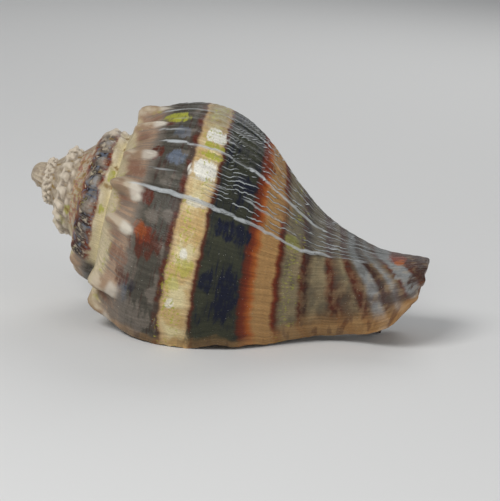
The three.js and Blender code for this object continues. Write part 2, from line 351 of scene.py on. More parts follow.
def spine_height(angle):
    """Height of the spines at a growth angle."""
    at = np.degrees(angle)
    height = np.zeros_like(at)
    for centre, size in SPINES:
        height = np.maximum(height, size * ridge(at - centre, SPINE_SIDES))
    off = (at + 360 + SPIRE_SPINE_STEP / 2) % SPIRE_SPINE_STEP - SPIRE_SPINE_STEP / 2
    on_spire = curve_through(SPIRE_SPINE_HEIGHT, at) * ridge(off * SPIRE_SPINE_WIDER, SPINE_SIDES)
    return np.where(at < SPIRE_SPINES_BEFORE, np.maximum(height, on_spire), height)


def folds(row, arc):
    """The folded edge that runs down from each spine, and the dip on its newer side."""
    at = np.degrees(row)
    wander = FOLD_WANDER * ripple("folds", arc, at)
    near = [(at - centre + wander, size) for centre, size in SPINES]
    edge = sum(size * ridge(off, FOLD_SIDES) for off, size in near)
    dip = sum(size * hump(off - DIP_AFTER, DIP_SIDE) for off, size in near)
    edge *= FOLD_HEIGHT * hump(arc - SHOULDER - FOLD_BELOW, FOLD_REACH)
    dip *= DIP_DEPTH * hump(arc - SHOULDER - DIP_BELOW, DIP_REACH)
    return edge, dip


def knob_height(row, arc):
    """Small knobs in a second row below the shoulder."""
    at, below = np.degrees(row), level_at(arc) - KNOB_LEVEL
    return sum(size * hump(at - centre, KNOB_DEGREES) * hump(below, KNOB_REACH) for centre, size in KNOBS)


def bead_height(row, arc):
    """Rows of beads on the spire; every second row is half a step on."""
    at = np.degrees(row)
    height = 0
    for k, (centre, size) in enumerate(BEAD_ROWS):
        sway = BEAD_SWAY * ripple("bead_places", at, arc, k)
        wave = np.cos(math.pi * (at + 360 + sway + (k % 2) * BEAD_STEP * 0.5) / BEAD_STEP)
        uneven = 1 + BEAD_UNEVEN * ripple("bead_sizes", at, arc, k)
        height = height + size * uneven * wave ** 2 * hump(arc - centre, BEAD_REACH)
    height *= 1 - smooth(at, BEADS_BEFORE - BEADS_FADE, BEADS_BEFORE)
    return height * (1 + FIRST_BEADS_TALLER * smooth(-at, *FIRST_BEADS))


def rib_list():
    """The ribs of the last whorl, and random older ones."""
    rng = np.random.default_rng(OLDER_RIB_SEED)
    at = RIBS[-1][0] - np.cumsum(rng.uniform(*OLDER_RIB_STEP, OLDER_RIBS))
    height = rng.uniform(*OLDER_RIB_HEIGHT, OLDER_RIBS)
    return RIBS + [(float(a), float(h)) for a, h in zip(at, height)]


def rib_height(row, arc):
    """Height of the ribs: a slow rise, then a steep fall on the newer side."""
    at = np.degrees(row)
    broad, fine = RIB_WAVES
    waves = broad * ripple("ribs", arc, at) + fine * ripple("ribs_fine", arc, at)
    at = at + waves * (1 + RIB_WAVES_GROW * smooth(arc, *RIB_WAVES_FROM))
    widen = 1 + smooth(arc, *RIB_WIDENS)
    height = sum(size * ridge((at - centre) / widen, RIB_SIDES) for centre, size in rib_list())
    break_up = np.clip(RIB_WHOLE + RIB_BROKEN * ripple("rib_gaps", arc, row), 0.15, 1.2)
    lower = 1 - RIB_LOWER * smooth(arc, *RIB_LOWER_FROM)
    gone = 1 - RIB_GONE * smooth(level_at(arc), *RIB_GONE_LEVEL)
    return height * break_up * lower * gone * smooth(arc - SHOULDER, *RIB_BELOW)


def plain_unevenness(row, arc):
    """Cords along the spiral, and broad and fine random waves."""
    sway = CORD_SWAY * ripple("cords", row, arc)
    cords = CORD_HEIGHT * np.cos(TURN * arc / CORD_STEP + sway)
    cords *= smooth(arc - SHOULDER, *CORD_BELOW)
    broad = BROAD_HEIGHT * ripple("broad", row, arc) * smooth(arc, *BROAD_FROM)
    return cords + broad + FINE_HEIGHT * ripple("fine", np.degrees(row), arc)


def outer_relief(row, arc):
    """How far the outer surface moves out and back to the apex, and the marks left by it, with painted
    shade in the dips.
    """
    size = growth(row)
    reach = np.where(arc < SHOULDER, SPINE_REACH_UP, SPINE_REACH_DOWN)
    tip = spine_height(row) * hump(arc - SHOULDER, reach)
    edge, dip = folds(row, arc)
    knobs = knob_height(row, arc)
    beads = bead_height(row, arc)
    ribs = rib_height(row, arc)
    out = SPINE_OUT * tip + edge - dip + knobs + beads + ribs + plain_unevenness(row, arc)
    back = SPINE_BACK * tip + BEAD_BACK * beads
    pale = np.clip(WORN_TIP * tip + WORN_FOLD * edge + WORN_KNOB * knobs + WORN_BEAD * beads, 0, 1)
    return size * out, size * back, pale, ribs, np.clip(DIP_SHADE * dip, 0, 1)


def outer_point(row, arc, relief=1.0):
    """A point of the outer surface, and its marks: worn pale, growth edge, and the dip that gets painted
    shade.
    """
    angle = row + edge_lag(row, arc)
    radius, axial = plain_point(angle, arc)
    out, back, pale, ribs, dip = outer_relief(row, arc)
    point = place(radius + relief * out, axial - relief * back, angle)
    return point, np.stack([pale, ribs, dip], -1) * np.asarray(relief)[..., None]


def hollow_reach(arc):
    """How deep the hollow goes, in radians behind the lip."""
    share = smooth(level_at(arc), HOLLOW_NARROWS, CANAL_END)
    return np.radians(HOLLOW_DEPTH_BODY * (1 - share) + HOLLOW_DEPTH_CANAL * share)


def core_point(depth, arc):
    """The whorl before and the pillar, seen through the opening, smoothed by a thin glaze."""
    row = -TURN - hollow_reach(arc) * depth
    glaze = 1 - smooth(-np.degrees(row), *CORE_GLAZE)
    return outer_point(row, arc, glaze)[0]


def plain_place(angle, arc):
    return place(*plain_point(angle, arc), angle)


def outward_of(angle, arc):
    """The direction straight out of the plain surface, from points a little to each side."""
    turn_step, arc_step = 0.02, 0.2
    along_row = plain_place(angle + turn_step, arc) - plain_place(angle - turn_step, arc)
    near = np.maximum(0, arc - arc_step)
    far = np.minimum(OUTLINE_LENGTH, arc + arc_step)
    outward = np.cross(along_row, plain_place(angle, far) - plain_place(angle, near))
    return outward / np.linalg.norm(outward, axis=-1, keepdims=True)


def inner_point(depth, arc):
    """The inner side of the wall: the plain outer surface moved inwards."""
    row = -hollow_reach(arc) * depth
    angle = row + edge_lag(row, arc)
    in_canal = smooth(level_at(arc), CANAL_START, CANAL_END)
    deeper = smooth(depth, 0, EDGE_ZONE)
    thickness = EDGE_THICKNESS * (1 - deeper) + WALL_THICKNESS * deeper
    thickness = thickness * (WALL_AT_START + (1 - WALL_AT_START) * growth(angle))
    thickness = thickness + CANAL_FILL * in_canal * smooth(depth, CANAL_FILL_FROM, 1)
    return plain_place(angle, arc) - outward_of(angle, arc) * thickness[..., None]


class Skin:
    """Vertices and faces of one closed skin; every face corner knows where on the shell it is."""

    def __init__(self):
        self.count = 0
        self.points, self.faces, self.places, self.marks = [], [], [], []

    def add_points(self, points):
        """Keeps a grid of points and gives their numbers."""
        flat = points.reshape(-1, 3)
        ids = np.arange(self.count, self.count + len(flat)).reshape(points.shape[:-1])
        self.points.append(flat)
        self.count += len(flat)
        return ids

    def add_sheet(self, sheet, flip=False):
        ids, where, mark = sheet

        def corners(a):
            rows = [a[:-1, :-1], a[:-1, 1:], a[1:, 1:], a[1:, :-1]]
            if flip:
                rows = [rows[0], rows[3], rows[2], rows[1]]
            return np.stack(rows, 2).reshape((-1, 4) + a.shape[2:])

        self.faces += corners(ids).tolist()
        self.places.append(corners(where).reshape(-1, 3))
        self.marks.append(corners(mark).reshape(-1, 3))

    def add_corner_face(self, corners):
        """One face from a list of (id, place, mark), unless two corners are the same point."""
        ids = [int(c[0]) for c in corners]
        if len(set(ids)) < len(ids):
            return
        self.faces.append(ids)
        self.places.append(np.array([c[1] for c in corners]))
        self.marks.append(np.array([c[2] for c in corners]))

    def add_ring(self, outer, inner):
        """Fills the band between two closed rings of (ids, places, marks)."""
        a, b = list(zip(*outer)), list(zip(*inner))
        for i in range(len(a)):
            j = (i + 1) % len(a)
            self.add_corner_face([a[i], a[j], b[j], b[i]])

    def add_strip(self, first, second):
        """Fills the strip between two runs of (ids, places, marks) that start side by side."""
        points, a, b = np.vstack(self.points), list(zip(*first)), list(zip(*second))
        i = j = 0
        while i < len(a) - 1 or j < len(b) - 1:
            gap_a = gap_b = np.inf
            if i < len(a) - 1:
                gap_a = np.linalg.norm(points[a[i + 1][0]] - points[b[j][0]])
            if j < len(b) - 1:
                gap_b = np.linalg.norm(points[a[i][0]] - points[b[j + 1][0]])
            if gap_a <= gap_b:
                self.add_corner_face([a[i], a[i + 1], b[j]])
                i += 1
            else:
                self.add_corner_face([a[i], b[j + 1], b[j]])
                j += 1


def row_angles():
    """Growth angles of the rows of one turn, denser where the spines and growth edges are seen."""
    dense = np.linspace(DENSE_SECTOR[1], DENSE_SECTOR[0], DENSE_ROWS, endpoint=False)
    sparse = np.linspace(DENSE_SECTOR[0], -360, SPARSE_ROWS, endpoint=False)
    one_turn = np.concatenate([dense, sparse])
    turns = int(math.ceil(TURNS_OF_SPIRE)) + 1
    rows = np.concatenate([one_turn - 360 * k for k in range(turns)])
    return np.radians(rows[: int(len(one_turn) * (1 + TURNS_OF_SPIRE)) + 1])


def sheet_of(ids, row, arc, inside, mark=None):
    """Packs a grid of vertices with their turns, level and how far inside they are, and their marks."""
    zero = np.zeros(ids.shape)
    turns = row / TURN + zero
    where = np.stack([turns, level_at(arc) + zero, inside + zero], -1)
    return [ids, where, np.zeros_like(where) if mark is None else mark]


def part_of(sheet, key):
    return [a[key] for a in sheet]


def joined(*runs):
    return [np.concatenate(parts) for parts in zip(*runs)]


def backwards(run):
    return [a[::-1] for a in run]


def grid_of(rows, columns):
    return np.meshgrid(rows, columns, indexing="ij")


def build_outer(skin, rows, ramp, body):
    """The outer surface: the full outline on the last whorl, the part above the suture on the spire."""
    grid_row, grid_arc = grid_of(rows, ramp)
    points, mark = outer_point(grid_row, grid_arc)
    ids = np.zeros(grid_row.shape, int)
    ids[:, 1:] = skin.add_points(points[:, 1:])
    welded = len(rows) - ROWS_PER_TURN
    ids[:welded, 0] = ids[ROWS_PER_TURN:, -1]
    ids[welded:, 0] = skin.add_points(points[welded:, 0])
    spire = sheet_of(ids, grid_row, grid_arc, 0.0, mark)
    low_row, low_arc = grid_of(rows[: ROWS_PER_TURN + 1], body)
    points, mark = outer_point(low_row, low_arc)
    whorl = sheet_of(skin.add_points(points), low_row, low_arc, 0.0, mark)
    upper = part_of(spire, np.s_[: ROWS_PER_TURN + 1])
    whorl = [np.concatenate([a, b], axis=1) for a, b in zip(upper, whorl)]
    return spire, whorl


def build_core(skin, whorl):
    """The whorl before and the pillar, as far in as the hollow goes."""
    arc = np.linspace(SUTURE + SUTURE_WALL, OUTLINE_LENGTH, CORE_COLUMNS)
    grid_depth, grid_arc = grid_of(HOLLOW_DEPTHS[1:], arc)
    ids = skin.add_points(core_point(grid_depth, grid_arc))
    row = -TURN - hollow_reach(grid_arc) * grid_depth
    inside = smooth(-np.degrees(row), *CORE_INSIDE)
    edge = part_of(whorl, np.s_[-1, RAMP_COLUMNS + 1:])
    return edge, sheet_of(ids, row, grid_arc, inside)


def build_inner(skin, edge, core):
    """The inner side of the wall, welded to the core along the suture."""
    arc = np.linspace(INNER_START, OUTLINE_LENGTH, INNER_COLUMNS)
    grid_depth, grid_arc = grid_of(HOLLOW_DEPTHS, arc)
    ids = skin.add_points(inner_point(grid_depth, grid_arc))
    first = np.concatenate([[edge[0][0]], core[0][:, 0]])[:, None]
    ids = np.concatenate([first, ids], axis=1)
    arc = np.concatenate([[0.0], arc])
    row = -hollow_reach(arc)[None, :] * HOLLOW_DEPTHS[:, None]
    return sheet_of(ids, row, arc[None, :], 1.0)


def close_canal(skin, whorl, core_edge, core, inner):
    """The canal's end: the wall's edge, then the pillar."""
    outer_end = part_of(whorl, np.s_[:, -1])
    inner_end = part_of(inner, np.s_[:, -1])
    core_end = joined([a[-1:] for a in core_edge], part_of(core, np.s_[:, -1]))
    split = int(np.argmin(np.abs(outer_end[1][:, 0] + HOLLOW_DEPTH_CANAL / 360)))
    skin.add_strip(inner_end, [a[: split + 1] for a in outer_end])
    deep = [a[-1:] for a in inner_end]
    skin.add_strip(joined(deep, backwards(core_end)), [a[split:] for a in outer_end])


def close_apex(skin, spire):
    """A round dome over the first coil."""
    start = len(spire[0]) - 1 - ROWS_PER_TURN
    loop = joined(part_of(spire, np.s_[start:, 0]), part_of(spire, np.s_[-1, 1:RAMP_COLUMNS]))
    rim = np.vstack(skin.points)[loop[0]]
    tip = place(np.zeros(1), np.array([TIP_LEVEL]), np.zeros(1))[0]
    axis = np.array([math.cos(REST_DIP), 0, -math.sin(REST_DIP)])
    along = (rim - tip) @ axis
    ring = loop
    for k in range(1, APEX_RINGS):
        share = 1 - k / APEX_RINGS
        sink = (1 - math.sqrt(1 - share ** 2)) * along
        points = tip + ((rim - tip) - along[:, None] * axis) * share + sink[:, None] * axis
        inner = [skin.add_points(points), loop[1], loop[2]]
        skin.add_ring(ring, inner)
        ring = inner
    ids = skin.add_points(tip[None])
    for i in range(len(ring[0])):
        j = (i + 1) % len(ring[0])
        corners = [(ring[0][n], ring[1][n], ring[2][n]) for n in (i, j)]
        skin.add_corner_face(corners + [(ids[0], ring[1][i], ring[2][i])])


def build_skin():
    """The whole shell as one closed skin."""
    skin = Skin()
    ramp = np.linspace(0, SUTURE, RAMP_COLUMNS + 1)
    body = np.linspace(SUTURE + SUTURE_WALL, OUTLINE_LENGTH, BODY_COLUMNS)
    spire, whorl = build_outer(skin, row_angles(), ramp, body)
    core_edge, core = build_core(skin, whorl)
    inner = build_inner(skin, core_edge, core)
    skin.add_sheet(whorl)
    skin.add_sheet(part_of(spire, np.s_[ROWS_PER_TURN:]))
    skin.add_strip(core_edge, part_of(core, 0))
    skin.add_sheet(core)
    skin.add_sheet(inner, flip=True)
    skin.add_strip(part_of(inner, 0), part_of(whorl, 0))
    close_canal(skin, whorl, core_edge, core, inner)
    skin.add_strip(part_of(core, -1), part_of(inner, -1))
    close_apex(skin, spire)
    return skin


def stand_in_box(points, low, high):
    """Moves the points so that the middle of their own box's bottom is that of the given box."""
    own_low, own_high = points.min(axis=0), points.max(axis=0)
    move = (low + high) / 2 - (own_low + own_high) / 2
    move[2] = low[2] - own_low[2]
    return points + move


def add_object(name, data):
    item = bpy.data.objects.new(name, data)
    bpy.context.scene.collection.objects.link(item)
    return item


def build_shell():
    skin = build_skin()
    low, high = (np.array(corner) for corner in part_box("shell"))
    points = stand_in_box(np.vstack(skin.points) * MM, low, high)
    mesh = bpy.data.meshes.new("shell_surface")
    mesh.from_pydata(points.tolist(), [], skin.faces)
    for name, values in (("growth", skin.places), ("relief", skin.marks)):
        attribute = mesh.attributes.new(name, "FLOAT_VECTOR", "CORNER")
        attribute.data.foreach_set("vector", np.concatenate(values).astype(np.float32).ravel())
    mesh.shade_smooth()
    mesh.set_sharp_from_angle(angle=SHARP_ANGLE)
    return add_object("shell_surface", mesh)


shell = build_shell()
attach(shell, "root")
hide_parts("shell")


# Colours of the markings, of the painted sheen and of the painted shade, as linear RGB
CREAM = (0.62, 0.53, 0.3)
SAND = (0.52, 0.38, 0.2)
BUFF = (0.46, 0.3, 0.12)
WHITE = (0.72, 0.7, 0.62)
IVORY = (0.5, 0.42, 0.27)
LOBE_PALE = (0.5, 0.42, 0.31)
LOBE_TAN = (0.31, 0.21, 0.135)
BEAD_PALE = (0.62, 0.54, 0.43)
WORN = (0.42, 0.35, 0.255)
WORN_GREY = (0.3, 0.24, 0.18)
BEIGE = (0.36, 0.245, 0.165)
ROSE = (0.22, 0.115, 0.075)
TAUPE = (0.16, 0.135, 0.11)
LIP_TAN = (0.4, 0.22, 0.08)
TAN = (0.4, 0.225, 0.085)
MAROON = (0.085, 0.018, 0.008)
RED = (0.17, 0.028, 0.008)
ORANGE = (0.36, 0.095, 0.018)
UMBER = (0.045, 0.018, 0.012)
SLATE = (0.062, 0.056, 0.043)
COAL = (0.026, 0.028, 0.02)
OLIVE = (0.042, 0.044, 0.026)
NAVY = (0.006, 0.008, 0.022)
BLUE = (0.12, 0.145, 0.19)
PALE = (0.22, 0.175, 0.1)
DUN = (0.13, 0.085, 0.05)
ICE = (0.22, 0.225, 0.22)
# Painted highlight: the blue-white sheen on the growth lines and the crests of the ribs
PAINTED_SHEEN = (0.52, 0.55, 0.56)
GREEN = (0.36, 0.36, 0.045)
BLACK = (0.012, 0.01, 0.012)
OCHRE = (0.24, 0.155, 0.055)
PORCELAIN = (0.72, 0.6, 0.46)
INNER_BAND_AND_SHADE = (0.2, 0.085, 0.045)

# Spiral bands of the last whorl: (colour, levels in mm from the apex where it is full)
BANDS = [
    (IVORY, 20, 25.6), (BEIGE, 26.6, 29.4), (TAUPE, 30.8), (SLATE, 32.6, 38.6),
    (MAROON, 39.3, 40), (SAND, 40.9), (CREAM, 42.2, 44.8), (SAND, 46.2), (MAROON, 47),
    (COAL, 47.9, 56.2), (MAROON, 56.8), (RED, 57.9), (ORANGE, 58.9), (TAN, 60, 62.8),
    (RED, 63.4), (MAROON, 64), (PALE, 64.9, 67.4), (MAROON, 68.2), (UMBER, 69.2),
    (PALE, 70.4, 72.3), (MAROON, 73.1, 73.8), (DUN, 74.8)]
CANAL_BANDS = [
    (DUN, 74.8), (PALE, 76.4), (MAROON, 77.2, 78), (DUN, 78.8), (ICE, 79.6, 80.8),
    (UMBER, 81.5, 82.1), (DUN, 82.9), (ICE, 83.6), (DUN, 84.8),
    (MAROON, 85.4), (ICE, 86.1, 87.8), (MAROON, 88.6), (UMBER, 91)]
BANDS_MEET = (74.6, 75.4)

# The whorls of the spire: worn ramp, dark stain below the shoulder, cream down to the suture
SPIRE_BANDS = [
    (WORN, 20, 22.4), (RED, 23.6), (MAROON, 24.8), (BLACK, 26.6), (UMBER, 28.8), (RED, 30.2),
    (IVORY, 31.4), (CREAM, 35.5)]

# Patches: (colour, then degrees behind the lip, level, half length in degrees, half width in mm and
# strength of each patch)
PATCHES = [
    (OLIVE, (-53, 50.5, 9, 3.2, 0.7), (-86, 51, 9, 3.6, 0.6), (-7, 52, 6, 5, 0.8)),
    (NAVY, (-27, 54.2, 15, 2.4, 1), (-58, 53, 4.4, 4.4, 1), (-81, 53, 3.5, 3.4, 0.9),
     (-34, 49.6, 5, 1.4, 0.9), (-24, 33, 3, 1.4, 0.6)),
    (BLUE, (-81, 35.8, 4, 2.2, 0.9), (-96, 35, 4, 2.2, 0.5), (-20, 31.5, 6, 1.6, 0.35)),
    (TAUPE, (-10, 33, 8, 6.5, 0.85), (-30, 31.5, 6, 2.6, 0.6)),
    (MAROON, (-42, 34.4, 6, 3.6, 0.8)), (RED, (-45, 33.4, 4, 2.4, 0.7)),
    (ORANGE, (-46, 32.4, 3.6, 1.6, 0.4)),
    (MAROON, (-60, 31.8, 4, 1.8, 1), (-82.5, 31, 4, 1.6, 1), (-104, 31.5, 4, 1.6, 0.8),
     (-26, 30.5, 3.5, 1.8, 0.7)),
    (ROSE, (-32, 28.5, 4, 2.6, 0.8), (-70, 27.5, 4, 2.2, 0.8)),
    (BUFF, (-54, 43.5, 8, 3.4, 0.7)),
    (WHITE, (-78.5, 42.8, 5, 3.1, 1), (-98, 43.2, 4.6, 2.8, 1), (-43, 43.6, 2.4, 1.2, 0.8),
     (-21, 42.8, 2.4, 1, 0.6), (-64, 43, 2, 2.6, 0.6)),
    (GREEN, (-86.5, 43.6, 1.9, 2.8, 0.9), (-91.5, 43.6, 1.9, 2.6, 0.9), (-108, 32.6, 5, 3.2, 0.9),
     (-122, 27.5, 6, 2, 0.6), (-38, 44.4, 4, 2, 0.6), (-30, 42.4, 4, 1.6, 0.5),
     (-66, 65.5, 5, 1.6, 0.6), (-16, 24.6, 4, 1.4, 0.7), (-3, 26, 4, 1.4, 0.6),
     (-64, 24.4, 4, 1.2, 0.5)),
    (RED, (-100, 57.6, 6, 1.4, 0.9)), (TAN, (-84, 62, 10, 2.6, 0.6)), (RED, (-77, 84.6, 9, 1.7, 1)),
    (ORANGE, (-70, 85, 6, 0.9, 0.8)), (ICE, (-52, 85.6, 9, 1.1, 0.9)),
    (UMBER, (-46, 89.2, 16, 1.5, 0.9))]
SPIRE_PATCHES = [
    (GREEN, (-430, 33, 5, 1.2, 0.8), (-404, 32.6, 4, 1, 0.8), (-718, 29, 8, 3, 0.7),
     (-740, 33, 7, 2, 0.7), (-700, 24.5, 8, 2.4, 0.6)),
    (BLUE, (-412, 28.6, 6, 2, 0.6)), (TAUPE, (-405, 27, 5, 1.6, 0.5))]

# Random waves of the markings: (waves in a degree along the whorl, waves in a mm of level, seed, detail)
WAVES = {
    "streaks": (0.9, 0.09, 3, 4), "inner_bands": (0, 0.16, 5, 1), "blotches": (0.16, 0.22, 7, 3),
    "specks": (0.75, 1.35, 11, 2), "speck_clouds": (0.085, 0.3, 13, 2), "bumps": (1.8, 1.4, 23, 4),
    "line_sway": (0.05, 0.42, 31, 3), "line_gaps": (0.26, 0.085, 37, 3), "grain": (3.0, 2.2, 41, 2),
    "brushing": (0.06, 1.5, 43, 3), "clouds": (0.1, 0.16, 45, 3), "mottle": (0.1, 0.5, 47, 3),
    "lip_marks": (0.04, 0.42, 49, 2), "band_waves": (0.22, 0.1, 51, 3), "band_teeth": (0.6, 0.25, 53, 3),
    "fray": (0.13, 0.8, 57, 4), "brush": (0.22, 1.3, 59, 4), "spire_waves": (0.13, 0.3, 61, 3),
    "white_specks": (1.9, 3.6, 67, 1), "border_gaps": (0.09, 0.05, 69, 3)}

# Random waves that don't follow the whorl, for the worn spire: (waves in a mm, detail)
SPIRE_WAVES = {
    "spire_bumps": (1.0, 2), "flecks": (0.75, 4), "greyness": (0.8, 3), "spire_grain": (2.5, 3),
    "pits": (0.5, 2)}

# A slope is (place, mark or waves, start, end) and goes from 0 to 1, or to the two values given last
ON_SPIRE = ("degrees", -352, -364)
WORN_SPIRE = ("degrees", -380, -440)
BEADED_SPIRE = ("degrees", -380, -430)
FIRST_WHORLS = ("degrees", -462, -500)
FIRST_WHORLS_GREY = ("greyness", 0.4, 0.6)

# How the bands lie on the whorl: drift, slant on the canal, and frayed edges, in mm of level
DRIFT = ("degrees", -125, -15, 1.45, -0.55)
LIP_DRIFT = (("degrees", -14, -2), -1.1)
SLANT = ("degrees", -80, -10, 4.2, -4.3)
SLANTED = (("degrees", -170, -100), ("level", 70, 80))
BAND_WAVES = 0.9
BAND_TEETH = 0.18
BAND_FRAY = ("level", 60, 76, 1, 0.55)
SPIRE_FRAY = 2.5

# Layers of colour in order: (paint, then its shares, which are slopes, marks or numbers and multiply)
STAIN_BAND = (("bands", 31, 33), ("bands", 39.4, 38.6))
CREAM_BAND = (("bands", 40.2, 41.4), ("bands", 47, 45.6))
DARK_BAND = (("bands", 47.2, 48.4), ("bands", 57, 56))
BAND_LAYERS = [
    (SLATE, ("bands", 38, 38.8), ("bands", 40.6, 39.8), ("border_gaps", 0.46, 0.56, 0, 0.75)),
    (NAVY, *DARK_BAND, ("brushing", 0.5, 0.62, 0, 0.85)),
    (OLIVE, *DARK_BAND, ("clouds", 0.48, 0.6, 0, 0.75)),
    (UMBER, *STAIN_BAND, ("brushing", 0.52, 0.64, 0, 0.7)),
    (TAUPE, *STAIN_BAND, ("clouds", 0.5, 0.62, 0, 0.8)),
    (BUFF, *CREAM_BAND, ("clouds", 0.44, 0.6, 0, 0.8)),
    (OLIVE, *CREAM_BAND, ("degrees", -94, -112, 0, 0.5))]
CANAL_BACK = (("degrees", -60, -70), ("level", 60, 70), ("level", 84.5, 81), 0.55)
CANAL_SIDE = (
    UMBER, ("degrees", -48, -26), ("level", 66, 74), ("clouds", 0.4, 0.6, 0.2, 0.75))
STRIPED_FROM = ("bands", 63.5, 65.5)
STRIPED_SIDE = ("degrees", -70, -62)
STRIPED_END = ("level", 84, 87)
STRIPE_LAYERS = [
    (SLATE, "stripes", ("mottle", 0.5, 0.66, 0, 0.45)),
    (SAND, "stripes", ("mottle", 0.52, 0.36, 0, 0.16))]
SPIRE_LAYERS = [
    (BLUE, ("flecks", 0.54, 0.62, 0, 0.8), ("spire_bands", 31.4, 30)),
    (WORN, ("flecks", 0.44, 0.36, 0, 0.9), ("spire_bands", 31.4, 30)),
    (ORANGE, ("flecks", 0.49, 0.51), ("spire_bands", 24.6, 22, 0, 0.5))]
GLAZE = (PORCELAIN, ("degrees", -312, -346, 0, 0.7), ("level", 35, 38))
# Painted shade: dark rose in the dip on the newer side of each spine; then taupe streaks on the shoulder
SHOULDER_LAYERS = [
    (ROSE, "dip", ("blotches", 0.36, 0.56, 0.4, 0.9)),
    (TAUPE, ("level", 24.5, 26.5), ("level", 32, 29.5), ("streaks", 0.46, 0.6, 0, 0.7))]
PITS = (OCHRE, BEADED_SPIRE, ("worn", 0.16, 0.02), ("pits", 0.46, 0.6))
# Painted highlight: a pale blue-white sheen on the fine growth lines and on the crests of the ribs, then
# white specks
SHEEN_AND_SPECK_LAYERS = [
    (PAINTED_SHEEN, ("lines", 0.42, 0.9), 0.8), (PAINTED_SHEEN, ("edge", 0.2, 0.55), 0.75),
    (WHITE, ("white_specks", 0.74, 0.79, 0, 0.7))]
# Inside: brown bands showing through, then painted shade darkening the inside towards the canal's end
INSIDE_BANDS_AND_SHADE = [
    (INNER_BAND_AND_SHADE, ("inner_bands", 0.46, 0.6), 0.55), (INNER_BAND_AND_SHADE, ("level", 84, 90, 0, 0.7))]

# Where a patch begins and is full, in half sizes squared, and how it frays and is brushed
PATCH_EDGE = (1.35, 0.55)
PATCH_FRAY = 1.8
PATCH_BRUSH = ("brush", 0.34, 0.5, 0.35, 1)

# The strip of plain new shell at the lip: its width in degrees, and its marks
STRIP = ("level", 58, 72, 6, 24)
STRIP_FULL = 0.4
STRIP_WANDER = 4.0
STRIP_SHARE = ("level", 54, 62, 0.5, 0.9)
LIP_MARKS = ("lip_marks", 0.52, 0.62, 0, 0.6)
LIP_SHOWS_BANDS = 0.3

# Fine growth lines: the first one, their spacing in degrees, sway and profile, and where they show
LINE_START = -64.0
LINE_SPACING = ("level", 48, 82, 1.9, 4.9)
LINE_SWAY = 1.7
LINE_RISE = (0, 0.12)
LINE_FALL = (0.12, 0.62)
LINES_SHOWN = [
    ("line_gaps", 0.38, 0.56), ("degrees", -62, -66, 0.14, 1), ("level", 38, 50, 0.12, 1),
    ("level", 85, 80, 0.15, 1), ("degrees", -372, -350), ("degrees", -190, -130, 0.4, 1)]

# Yellow-green specks: on the cream band, the ramp and the pale band, not on the spire
SPECKS = (("specks", 0.53, 0.6), ("speck_clouds", 0.47, 0.56))
SPECKED_BANDS = [
    (("level", 39.5, 41), ("level", 46.5, 45)), (("level", 27, 25.5), 0.7),
    (("level", 64.4, 65.6), ("level", 69, 67.6, 0, 0.6))]
SPECKED_WHORLS = ("degrees", -480, -400)
SPECK_SHARE = 0.75

# Worn edges are pale, less so in the dark stain
WORN_FROM = ("worn", 0.25, 0.85)
WORN_BLOTCHES = ("blotches", 0.44, 0.6)
WORN_WHITE = ("level", 27.8, 28.8, 0, 0.55)
WORN_SHARE = 0.85
STAINED = (("degrees", -480, -455), ("degrees", -350, -365))
STAINED_LESS = -0.55

# Growth streaks and grain, by how much they darken and lighten
STREAK_CONTRAST = 0.55
GRAIN_CONTRAST = 0.6
GRAIN_SHARE = 0.6

# Gloss, and the finest relief in mm
ROUGHNESS = 0.28
BLOTCH_ROUGHNESS = 0.3
INSIDE_ROUGHNESS = -0.14
SPECULAR = 0.22
LINE_HEIGHT = 0.3
THREAD_HEIGHT = 0.008
THREADS = 4.2
GRAIN_HEIGHT = 0.12


class Nodes:
    """Short names for the shader nodes used here."""

    def __init__(self, name):
        self.material = bpy.data.materials.new(name)
        self.material.use_nodes = True
        self.tree = self.material.node_tree
        self.tree.nodes.clear()

    def add(self, kind, **settings):
        node = self.tree.nodes.new("ShaderNode" + kind)
        for name, value in settings.items():
            setattr(node, name, value)
        return node

    def put(self, socket, value):
        if isinstance(value, bpy.types.NodeSocket):
            self.tree.links.new(value, socket)
        elif socket.type == "RGBA" and len(value) == 3:
            socket.default_value = (*value, 1.0)
        else:
            socket.default_value = value

    def put_all(self, node, values):
        for name, value in values.items():
            self.put(node.inputs[name], value)

    def math(self, operation, a, b=0.0, c=0.0, clamp=False):
        node = self.add("Math", operation=operation, use_clamp=clamp)
        self.put_all(node, {0: a, 1: b, 2: c})
        return node.outputs[0]

    def range(self, value, start, end, low=0, high=1, kind="SMOOTHSTEP"):
        """From low to high as the value goes from start to end."""
        node = self.add("MapRange", interpolation_type=kind)
        self.put_all(node, {
            "Value": value, "From Min": start, "From Max": end, "To Min": low, "To Max": high})
        return node.outputs[0]

    def mix(self, factor, a, b, blend="MIX"):
        node = self.add("Mix", data_type="RGBA", blend_type=blend)
        self.put_all(node, {0: factor, 6: a, 7: b})
        return node.outputs[2]

    def blend(self, share, a, b):
        return self.math("ADD", a, self.math("MULTIPLY", share, self.math("SUBTRACT", b, a)))

    def noise(self, vector, scale, detail):
        node = self.add("TexNoise")
        self.put_all(node, {"Vector": vector, "Scale": scale, "Detail": detail})
        return node.outputs["Fac"]

    def ramp(self, value, stops):
        node = self.add("ValToRGB")
        elements = node.color_ramp.elements
        while len(elements) > 1:
            elements.remove(elements[0])
        for index, (at, colour) in enumerate(stops):
            element = elements[0] if index == 0 else elements.new(at)
            element.position = at
            element.color = (*colour, 1.0)
        self.put(node.inputs[0], value)
        return node.outputs[0]

    def surface(self, values):
        shader = self.add("BsdfPrincipled")
        self.put_all(shader, values)
        output = self.add("OutputMaterial")
        self.put(output.inputs["Surface"], shader.outputs[0])
        return self.material


